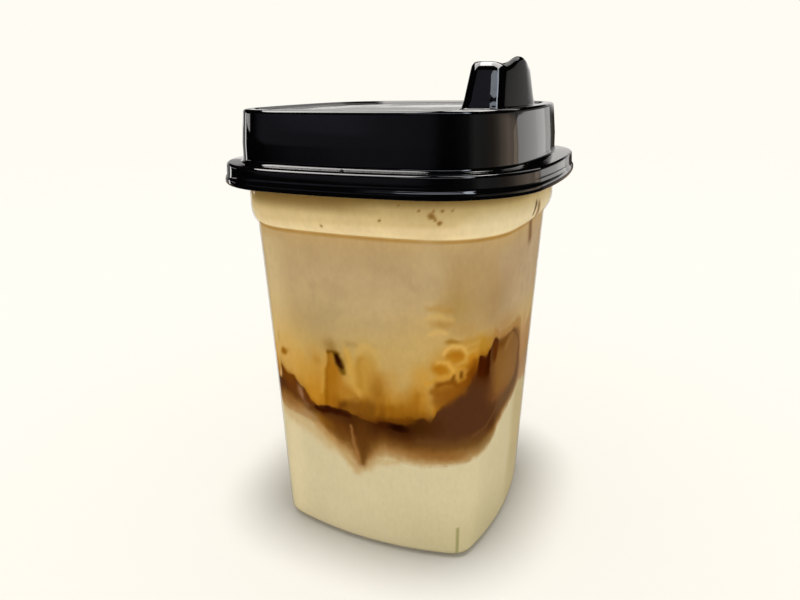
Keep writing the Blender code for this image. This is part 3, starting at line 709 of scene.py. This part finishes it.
def drink_material(name):
    """A cloudy liquid: its painted colour, with a fine drift of lighter and darker milk."""
    made = Nodes(bpy.data.materials.new(name))
    painted = made.add("VertexColor", "Color", layer_name="painted")
    drift = made.ranged(made.noise(900.0, 4.0, 0.6, (1.0, 1.0, 0.5)), 0.965, 1.035)
    return made.shown(made.add("BsdfPrincipled", "BSDF", {
        "Base Color": made.add("VectorMath", "Vector", {0: painted, "Scale": drift}, operation="SCALE"),
        "Roughness": made.ranged(made.noise(300.0), 0.55, 0.7),
        "Specular IOR Level": 0.0,
    }))


# How much of its true mirror image the thin wall shows to the camera.
CUP_MIRRORS = 0.45


def clear_plastic():
    """Thin clear plastic: it lets the drink show through, and mirrors more towards its edges."""
    made = Nodes(bpy.data.materials.new("clear_cup"))
    normal = made.bump(made.noise(60.0, 2.0), 0.10, 0.0008)
    fresnel = made.add("Fresnel", "Fac", {"IOR": 1.45, "Normal": normal})
    through = made.add("BsdfTransparent", "BSDF", {"Color": (0.985, 0.985, 0.975, 1.0)})
    gloss = made.add("BsdfGlossy", "BSDF", {
        "Color": (1.0, 1.0, 1.0, 1.0),
        "Roughness": made.ranged(made.noise(150.0), 0.03, 0.07),
        "Normal": normal,
    })
    mirrored = made.worked("MULTIPLY", fresnel, made.add("LightPath", "Is Camera Ray"))
    return made.shown(made.mixed(made.worked("MULTIPLY", mirrored, CUP_MIRRORS), through, gloss))


def black_plastic():
    """Glossy moulded black plastic with faint flow waviness, and fine scuffs in its gloss."""
    made = Nodes(bpy.data.materials.new("black_lid"))
    mottle = {
        "Factor": made.noise(500.0, 4.0),
        "A": (0.0007, 0.0006, 0.0007, 1.0),
        "B": (0.0014, 0.0013, 0.0014, 1.0),
    }
    scuffs = made.noise(420.0, 5.0, 0.7, (1.0, 1.0, 0.12))
    return made.shown(made.add("BsdfPrincipled", "BSDF", {
        "Base Color": made.add("Mix", "Result", mottle, data_type="RGBA"),
        "Roughness": made.ranged(scuffs, 0.03, 0.07),
        "IOR": 1.5,
        "Normal": made.bump(made.noise(45.0, 2.0, 0.4, (1.0, 1.0, 0.35)), 0.18, 0.0009),
    }))


# ------------ rings of the cup and the lid
RING_COLUMNS = 480


def arc_lift(radius, steps=6):
    """Heights and pull-ins of a quarter round, from its foot to its side."""
    turns = [math.pi / 2 * step / steps for step in range(steps + 1)]
    return [(radius * (1 - math.cos(turn)), radius * (1 - math.sin(turn))) for turn in turns]


def shoulder_heights(inset, steps=16):
    lifted = SHOULDER_Z + inset * SHOULDER_LAG
    return [lifted + SHOULDER_HEIGHT * (step / steps) ** 1.6 for step in range(steps + 1)]


def even_angles():
    return angle_of(np.arange(RING_COLUMNS) * PERIMETER / RING_COLUMNS)


def flange_ring(angles, z, half):
    return ring_points(angles, z, half, FLANGE_CORNER - (LID_HALF - half), FLANGE_BOW)


# ------------ the cup
def make_cup(finish):
    angles = even_angles()
    rings = []

    def add(z, half, corner, bow):
        rings.append(ring_points(angles, z, half, corner, bow))

    def add_inner(z, tuck=0.0, at=None):
        half, corner, bow = inner_plan(z if at is None else at, CUP_WALL)
        add(z, half - tuck, corner - tuck * 0.5, bow)

    land_half = BASE_HALF - FOOT_RADIUS - FOOT_LAND
    add(PUNT, land_half * 0.5, BASE_CORNER - FOOT_LAND, BASE_BOW)
    for rise, pull in ((PUNT, PUNT * 1.5), (PUNT * 0.5, PUNT * 0.5), (0.0, 0.0)):
        add(rise, land_half - pull, BASE_CORNER - FOOT_LAND, BASE_BOW)
    body = [SHOULDER_Z * share for share in (0.06, 0.12, 0.2, 0.3, 0.4, 0.5, 0.6, 0.7, 0.8, 0.9, 0.97)]
    under_rim = CUP_HEIGHT - RIM_THICKNESS
    foot = [z for z, _ in arc_lift(FOOT_RADIUS)]
    for z in foot + body + shoulder_heights(0.0) + [under_rim - RIM_ROOT, under_rim]:
        add(z, *cup_plan(z))
    rings.append(flange_ring(angles, under_rim, RIM_HALF - RIM_EDGE))
    for z, pull in arc_lift(RIM_EDGE, 4):
        rings.append(flange_ring(angles, under_rim + z, RIM_HALF - pull))
    for z, pull in reversed(arc_lift(RIM_EDGE, 4)):
        rings.append(flange_ring(angles, CUP_HEIGHT - z, RIM_HALF - pull))
    for z in [CUP_HEIGHT] + list(reversed(body + shoulder_heights(CUP_WALL))):
        add_inner(z)
    for lift, tuck in reversed(arc_lift(FOOT_RADIUS)):
        add_inner(PUNT + CUP_WALL + lift, tuck, FOOT_RADIUS)
    cup = closed_stack("cup_clear", rings, finish, 50)
    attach(cup, "root")
    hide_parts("cup")


# ------------ the lid
def make_lid(finish):
    angles = even_angles()
    rings = []

    def drum(z, half, drawn_in=1.0):
        ring = ring_points(angles, z, half, DRUM_CORNER - (DRUM_BASE_HALF - half), DRUM_BOW)
        rings.append(ring * (drawn_in, drawn_in, 1.0))

    def flange(z, half):
        rings.append(flange_ring(angles, z, half))

    floor_z = DECK_Z - DECK_RECESS
    rim_half = DRUM_TOP_HALF - DRUM_EDGE - DECK_RIM
    for drawn_in in (0.1, 0.25, 0.4, 0.55, 0.7, 0.85, 1.0):
        drum(floor_z, rim_half - DECK_RECESS * 1.2, drawn_in)
    for share in (0.15, 0.5, 0.85):
        drum(floor_z + DECK_RECESS * share, rim_half - DECK_RECESS * (1 - share))
    drum(DECK_Z, rim_half + DECK_RECESS * 0.4)
    for drop, pull in arc_lift(DRUM_EDGE, 8):
        drum(DECK_Z - drop, DRUM_TOP_HALF - pull)
    side_top, side_foot = DECK_Z - DRUM_EDGE, FLANGE_Z + DRUM_FILLET
    for share in (0.33, 0.66):
        half = DRUM_TOP_HALF + (DRUM_BASE_HALF - DRUM_TOP_HALF) * share
        drum(side_top + (side_foot - side_top) * share, half)
    for rise, pull in reversed(arc_lift(DRUM_FILLET)):
        drum(FLANGE_Z + rise, DRUM_BASE_HALF + pull - DRUM_SINK)
    for drop, pull in arc_lift(FLANGE_EDGE):
        flange(FLANGE_Z - drop, FLANGE_HALF - pull)
    for rise, pull in list(SKIRT_PROFILE) + list(reversed(arc_lift(SKIRT_EDGE, 4))):
        flange(SKIRT_Z + rise, LID_HALF - pull)

    # The inside, from the skirt's foot up to the roof under the deck.
    ceiling = FLANGE_Z - LID_WALL
    flange(SKIRT_Z, LID_HALF - SKIRT_WALL)
    flange(ceiling - INNER_ROUND, FLANGE_HALF - LID_WALL)
    flange(ceiling, FLANGE_HALF - LID_WALL - INNER_ROUND)
    drum(ceiling + INNER_STEP, DRUM_BASE_HALF + INNER_ROUND - LID_WALL)
    drum(ceiling + INNER_STEP + INNER_ROUND, DRUM_BASE_HALF - LID_WALL)
    roof = floor_z - LID_WALL
    drum(roof - DRUM_EDGE, DRUM_TOP_HALF - LID_WALL)
    for drawn_in in (1.0, 0.7, 0.4):
        drum(roof, DRUM_TOP_HALF - LID_WALL - DRUM_EDGE, drawn_in)
    lid = closed_stack("lid_black", rings, finish, 60)
    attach(lid, "root")
    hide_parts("lid")


def spout_lift(x, y):
    """The outer lip is highest in its middle and dips at its two ends; the inner edge is level."""
    x_from, x_to, half_y = SPOUT_TOP
    outward = np.clip((x - x_from) / (x_to - x_from), 0.0, 1.0)
    crown = SPOUT_CROWN * outward * np.maximum(1 - (y / SPOUT_CROWN_REACH) ** 2, 0.0)
    from_notch = np.hypot(np.abs(y) - half_y + SPOUT_NOTCH_IN, x - x_to) / SPOUT_NOTCH_REACH
    return crown - SPOUT_NOTCH * np.exp(-(from_notch**2))


def spout_ring(z, plan, inset=0.0, lift=0.0):
    """A rounded rectangle whose +X side bows outward, evenly stepped, with a share of the lip's lift."""
    x_from, x_to, half_y = plan[0] + inset, plan[1] - inset, plan[2] - inset
    corner = max(SPOUT_CORNER - inset, SPOUT_CORNER_LEAST)
    arcs = []
    for quarter, x, y in ((0, x_to, half_y), (1, x_from, half_y), (2, x_from, -half_y), (3, x_to, -half_y)):
        bearings = np.radians(np.linspace(90 * quarter, 90 * quarter + 90, 11))
        centre = (x - math.copysign(corner, x - (x_from + x_to) / 2), y - math.copysign(corner, y))
        arcs.append(corner * np.stack([np.cos(bearings), np.sin(bearings)], -1) + centre)
    sides = [np.linspace(arc[-1], after[0], 15)[1:-1] for arc, after in zip(arcs, arcs[1:] + arcs[:1])]
    x, y = np.vstack([part for pair in zip(arcs, sides) for part in pair]).T
    x = x + SPOUT_BOW * np.maximum((x - x_to + corner) / corner, 0.0) * (1 - (y / half_y) ** 2)
    return np.stack([x, y, z + lift * spout_lift(x, y)], -1)


def plan_between(share):
    return tuple(low + (high - low) * share for low, high in zip(SPOUT_BASE, SPOUT_TOP))


def slot_ring(z, around):
    """The sip slot's outline, a long hole with round ends, each point opposite one of the ring around it."""
    middle = (SPOUT_TOP[0] + SPOUT_TOP[1]) / 2
    radius, straight = SIP_SLOT[0] / 2, (SIP_SLOT[1] - SIP_SLOT[0]) / 2
    centres = np.stack(np.broadcast_arrays(middle, np.clip(around[:, 1], -straight, straight), z), -1)
    away = (around - centres) * (1, 1, 0)
    return centres + radius * away / np.linalg.norm(away, axis=1)[:, None]


def make_spout(finish):
    deck = DECK_Z - DECK_RECESS
    lip = SPOUT_TOP_Z - SPOUT_CROWN
    rings = []

    def add(z, plan, inset=0.0, lift=0.0):
        rings.append(spout_ring(z, plan, inset, lift))

    add(deck - LID_WALL * 0.5, SPOUT_BASE, -SPOUT_FILLET)
    for rise, flare in arc_lift(SPOUT_FILLET, 4):
        add(deck + rise, SPOUT_BASE, -flare)
    for share in (0.2, 0.4, 0.6, 0.8):
        add(deck + (lip - deck) * share, plan_between(share), 0.0, share**3)
    add(lip - SPOUT_EDGE, plan_between(0.92), 0.0, 1.0)
    for turn in np.radians((30, 60, 90)):
        rise, pull = SPOUT_EDGE * math.sin(turn), SPOUT_EDGE * (1 - math.cos(turn))
        add(lip - SPOUT_EDGE + rise, SPOUT_TOP, pull, 1.0)
    add(lip - SPOUT_DISH * 0.3, SPOUT_TOP, SPOUT_EDGE * 1.5, 1.0)
    add(lip - SPOUT_DISH, SPOUT_TOP, SPOUT_EDGE * 2.0)
    dish = rings[-1]
    rings += [slot_ring(lip - SPOUT_DISH - depth, dish) for depth in (0.0, SIP_WELL)]
    spout = closed_stack("lid_spout", rings, finish, 60)
    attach(spout, "root")
    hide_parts("lid")


def make_gate_mark(finish):
    """The mould's small gate mark on the flange."""
    bearings = np.linspace(0.0, 2 * math.pi, 20, endpoint=False)
    circle = np.stack([np.cos(bearings), np.sin(bearings), np.zeros(len(bearings))], -1)
    rings = [circle * radius + (*GATE_AT, FLANGE_Z + rise) for rise, radius in GATE_PROFILE]
    mark = closed_stack("lid_gate_mark", rings, finish)
    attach(mark, "root")
    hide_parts("lid")


# ------------ the drink
def drink_ways():
    """Fine columns where the swirls are, coarser ones behind; returned as mm round the wall."""
    return np.append(np.arange(FRONT_FROM, FRONT_TO, 0.36), np.arange(FRONT_TO, PERIMETER + FRONT_FROM, 0.9))


def paint_on(mesh, colours):
    layer = mesh.color_attributes.new("painted", "FLOAT_COLOR", "POINT")
    rgba = np.ones((len(mesh.vertices), 4), np.float32)
    rgba[:, :3] = colours
    layer.data.foreach_set("color", rgba.ravel())


def surface_rings(edge, middle):
    """Rings of a drink surface, from near its wavy edge to near its middle."""
    rings = []
    for share in (0.9, 0.7, 0.45, 0.2):
        ring = edge * (share, share, 1.0)
        ring[:, 2] = middle + (edge[:, 2] - middle) * share**2
        rings.append(ring)
    return rings


def drink_piece(name, ways, heights, low_centre, high_centre):
    """A layer whose wall rows are given, closed by two surfaces that run to its middle."""
    angles = angle_of(ways)
    half, corner, bow = inner_plan(np.maximum(heights, FOOT_RADIUS), DRINK_INSET)
    arc = FOOT_RADIUS - DRINK_INSET
    tuck = arc - np.sqrt(np.maximum(arc**2 - np.clip(FOOT_RADIUS - heights, 0.0, arc) ** 2, 0.0))
    wall = ring_points(angles, heights, half - tuck, corner - tuck * 0.5, bow)
    stack = surface_rings(wall[0], low_centre)[::-1] + list(wall) + surface_rings(wall[-1], high_centre)
    made = closed_stack(name, stack, drink_material(name + "_liquid"))
    levels = np.array(stack)[..., 2]
    at = np.append(np.tile(ways, len(stack)), [0.0, 0.0])
    up = np.append(levels, [low_centre, high_centre]) * MM
    on_wall = ring_points(angles, levels, *inner_plan(levels, DRINK_INSET)).reshape(-1, 3)
    on_wall = np.append(on_wall, np.zeros((2, 3)), 0) * MM
    paint_on(made.data, linear(paint(at, up, on_wall)))
    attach(made, "root")
    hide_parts("drink_" + name)


def make_drink():
    ways = drink_ways()
    signed = signed_way(ways)
    level = np.ones(len(ways))
    milk_top = round_wall(signed, MILK_EDGE) / MM
    espresso_top = round_wall(signed, ESPRESSO_EDGE) / MM

    def rows(heights):
        return [level * z for z in heights]

    def rows_between(low, high, count):
        return [low + (high - low) * share for share in np.linspace(0, 1, count)]

    foot = [DRINK_INSET + lift for lift, _ in arc_lift(FOOT_RADIUS - DRINK_INSET, 8)]
    shoulder = shoulder_heights(DRINK_INSET)
    milk = rows(foot) + rows_between(foot[-1], milk_top, 96)[1:]
    coffee = rows_between(espresso_top, SHOULDER_Z, 120) + rows(shoulder[1:])
    coffee += rows(np.linspace(shoulder[-1], DRINK_LEVEL_Z, 14)[1:])
    drink_piece("milk", ways, np.array(milk), PUNT + DRINK_INSET, MILK_MIDDLE_Z)
    espresso = rows_between(milk_top, espresso_top, 56)
    drink_piece("espresso", ways, np.array(espresso), MILK_MIDDLE_Z, ESPRESSO_MIDDLE_Z)
    drink_piece("milk_coffee", ways, np.array(coffee), ESPRESSO_MIDDLE_Z, DRINK_LEVEL_Z)


# ------------ studio
CREAM = (255, 252, 243)
DOME = 0.82
TOP_LIGHT = 0.95
TOP_LIGHT_SPREAD = 14.0
# Degrees round from +X, and degrees up.
TOP_LIGHT_FROM = (-50.0, 87.0)
FLOOR_GAIN = 1.02
FLOOR_Z = -0.0002
FLOOR_REACH = 2.0
FLOOR_FADE = (0.35, 1.2)
CAMERA_AT = (0.0769, -0.1796, 0.1339)
CAMERA_AIM = (-0.0024, -0.00105, 0.0678)
CAMERA_ROLL = -0.85
LENS = 29.01


def direction(round_from_x, up):
    turn, rise = math.radians(round_from_x), math.radians(up)
    return Vector((math.cos(turn) * math.cos(rise), math.sin(turn) * math.cos(rise), math.sin(rise)))


def make_camera():
    data = bpy.data.cameras.new("photo_angle")
    data.sensor_width = 36.0
    data.lens = LENS
    data.clip_start = 0.01
    camera = placed("photo_angle", data)
    camera.location = CAMERA_AT
    towards = Vector(CAMERA_AIM) - Vector(CAMERA_AT)
    turn = towards.to_track_quat("-Z", "Y").to_matrix()
    camera.rotation_euler = (turn @ Matrix.Rotation(math.radians(CAMERA_ROLL), 3, "Z")).to_euler()
    bpy.context.scene.camera = camera


def make_floor():
    """A pale paper floor, which the plastic doesn't mirror and which fades out far from the cup."""
    made = Nodes(bpy.data.materials.new("floor_paint"))
    light = DOME + TOP_LIGHT * direction(*TOP_LIGHT_FROM).z
    paper = made.add("BsdfDiffuse", "BSDF", {"Color": (*(linear(CREAM) * FLOOR_GAIN / light), 1.0)})
    far = made.add("VectorMath", "Value", {0: made.add("TexCoord", "Object")}, operation="LENGTH")
    faded = made.ranged(far, 0.0, 1.0, *FLOOR_FADE)
    finish = made.shown(made.mixed(faded, paper, made.add("BsdfTransparent", "BSDF")))
    points = np.array([(-1, -1, 0), (1, -1, 0), (1, 1, 0), (-1, 1, 0)], float) * FLOOR_REACH
    points[:, 2] = FLOOR_Z
    floor = object_of("floor", points, [(0, 1, 2, 3)], finish, False)
    floor.visible_glossy = False
    floor.visible_shadow = False


WARM, PLAIN, COOL, BLUISH = (1.0, 0.80, 0.62), (1.0, 0.97, 0.94), (0.80, 0.77, 1.0), (0.80, 0.88, 1.0)
# What the gloss mirrors of the room, low, high and below the floor: degrees round from +X, brightness, and a
# tint where it isn't plain.
LOW_ROOM = (
    (-180, 0.0), (-60, 0.0), (-40, 0.05), (-29, 0.25), (-15, 0.2), (0, 0.28, WARM), (9, 0.5, WARM),
    (14, 0.8, WARM), (31, 1.25, WARM), (40, 0.9, WARM), (50, 0.65, WARM), (56, 0.15), (82, 0.15),
    (90, 0.05, WARM), (99, 0.05, WARM), (103, 0.45), (145, 0.5), (150, 0.3), (154, 0.0),
)
HIGH_ROOM = (
    (-180, 0.0), (-20, 0.15), (30, 0.1), (60, 0.17), (82, 0.16), (87, 0.39), (95, 0.9), (103, 0.8),
    (110, 0.45), (125, 0.50), (150, 0.3), (156, 0.0),
)
PAPER_ROOM = ((-180, 0.0, WARM), (58, 0.0, WARM), (80, 0.36, WARM), (150, 0.36, WARM), (172, 0.0, WARM))
ROOM_PEAK = 1.5
# Heights, as the sine of the angle up, over which one part of the room gives way to the next.
PAPER_END, ROOM_END = (-0.14, -0.10), (0.160, 0.178)
# The low part ends higher on the right than at the back, by this much over one turn.
LOW_ROOM_SLANT, LOW_ROOM_END = 0.55, (0.382, 0.402)
# Soft patches on the dark side of the room, as shares of a turn and sines of the angle up: where each starts,
# is full, and ends, round and up, and its brightness.
SHEENS = (
    ((0.02, 0.10, 0.20, 0.30), (0.0, 0.03, 0.15, 0.22), 0.15),
    ((0.10, 0.135, 0.165, 0.21), (0.08, 0.12, 0.16, 0.20), 0.26),
)


def make_world():
    """A neutral dome of light, a cream backdrop that only the camera sees, and a room that gloss mirrors."""
    made = Nodes(bpy.data.worlds.new("soft_studio"))
    place = {"Vector": made.add("TexCoord", "Generated")}
    height = made.add("SeparateXYZ", "Z", place)
    around = made.add("TexGradient", "Fac", place, gradient_type="RADIAL")

    def background(colour, strength=1.0):
        return made.add("Background", "Background", {"Color": colour, "Strength": strength})

    def step_up(value, low, high):
        return made.ranged(value, 0.0, 1.0, low, high, "SMOOTHSTEP")

    def between(value, start, full_from, full_to, end):
        return made.worked("SUBTRACT", step_up(value, start, full_from), step_up(value, full_to, end))

    def room(stops):
        ramp = made.add("ValToRGB", "Color", {"Fac": around})
        elements = ramp.node.color_ramp.elements
        elements.remove(elements[-1])
        for index, (degrees, brightness, *tint) in enumerate(stops):
            where = degrees / 360 + 0.5
            stop = elements[0] if index == 0 else elements.new(where)
            stop.position = where
            stop.color = (*(brightness / ROOM_PEAK * share for share in (tint or [PLAIN])[0]), 1.0)
        return background(ramp, ROOM_PEAK)

    slanted = made.worked("MULTIPLY_ADD", around, LOW_ROOM_SLANT, height)
    mirrored = made.mixed(step_up(slanted, *LOW_ROOM_END), room(LOW_ROOM), room(HIGH_ROOM))
    mirrored = made.mixed(step_up(height, *ROOM_END), mirrored, background((0.0, 0.0, 0.0, 1.0)))
    mirrored = made.mixed(step_up(height, *PAPER_END), room(PAPER_ROOM), mirrored)
    for wide, tall, brightness in SHEENS:
        patch = made.worked("MULTIPLY", between(around, *wide), between(height, *tall))
        mirrored = made.mixed(patch, mirrored, background((*(brightness * share for share in COOL), 1.0)))

    dome = background((1.0, 1.0, 1.0, 1.0), DOME)
    lit = made.mixed(made.add("LightPath", "Is Glossy Ray"), dome, mirrored)
    seen = made.mixed(made.add("LightPath", "Is Camera Ray"), lit, background((*linear(CREAM), 1.0)))
    bpy.context.scene.world = made.shown(seen)


# Reflections with edges, far off: name, degrees round from +X, degrees up, width and height in degrees,
# brightness, and a tint where it isn't plain.
FAR_CARDS = (
    ("card_over_left", 178, 60, 44, 34, 9.0),
    ("card_back", 100, 36, 60, 28, 0.9),
    ("card_crease", -74, 45, 50, 7, 4.5, BLUISH),
    ("card_crease_edge", -36, 43, 8, 20, 9.0, BLUISH),
    ("card_spout_face", -112, 39, 9, 16, 0.28, COOL),
    ("card_drum_corner", 160.5, -3.0, 5, 13, 2.6),
    ("card_skirt_corner", 172, 1.8, 13, 2.4, 1.6),
)
FAR = 3.0
# Cards near the cup: name, middle, the way they face, width and height, brightness and tint.
FORWARD, DOWN = Vector((0.0, -1.0, 0.0)), Vector((0.0, 0.0, -1.0))
NEAR_CARDS = (
    ("card_right_edge", (0.073, 0.240, 0.1105), FORWARD, (0.024, 0.045), 0.65),
    ("card_right_low", (0.103, 0.240, 0.1105), FORWARD, (0.036, 0.045), 1.05),
    ("card_right_mid", (0.165, 0.240, 0.1105), FORWARD, (0.088, 0.045), 0.95),
    ("card_right_high", (0.260, 0.240, 0.1105), FORWARD, (0.100, 0.045), 0.55, WARM),
    ("card_behind_deck", (-0.220, 0.240, 0.1220), FORWARD, (0.400, 0.0275), 0.60),
    ("card_over_spout", (0.035, -0.012, 0.165), DOWN, (0.034, 0.028), 12.0),
)


def make_card(name, middle, facing, size, brightness, tint=PLAIN):
    """A card of light that only gloss sees."""
    light = bpy.data.lights.new(name, "AREA")
    light.shape = "RECTANGLE"
    light.size, light.size_y = size
    light.energy = brightness * math.pi * light.size * light.size_y
    light.color = tint
    card = placed(name, light)
    card.location = middle
    card.rotation_euler = facing.to_track_quat("-Z", "Y").to_euler()
    card.visible_camera = False
    card.visible_diffuse = False


def make_cards():
    for name, round_from_x, up, width, height, *light in FAR_CARDS:
        away = direction(round_from_x, up)
        size = tuple(2 * FAR * math.tan(math.radians(angle / 2)) for angle in (width, height))
        make_card(name, away * FAR + Vector((0.0, 0.0, DECK_Z)), -away, size, *light)
    for near_card in NEAR_CARDS:
        make_card(*near_card)


def make_top_light():
    light = bpy.data.lights.new("top_light", "SUN")
    light.energy = TOP_LIGHT * math.pi
    light.angle = math.radians(TOP_LIGHT_SPREAD)
    lamp = placed("top_light", light)
    lamp.rotation_euler = direction(*TOP_LIGHT_FROM).to_track_quat("Z", "Y").to_euler()
    lamp.visible_glossy = False


def make_studio():
    make_camera()
    make_floor()
    make_world()
    make_top_light()
    make_cards()
    view = bpy.context.scene.view_settings
    view.view_transform = "Standard"
    view.look = "None"


make_cup(clear_plastic())
lid_finish = black_plastic()
make_lid(lid_finish)
make_spout(lid_finish)
make_gate_mark(lid_finish)
make_drink()
make_studio()
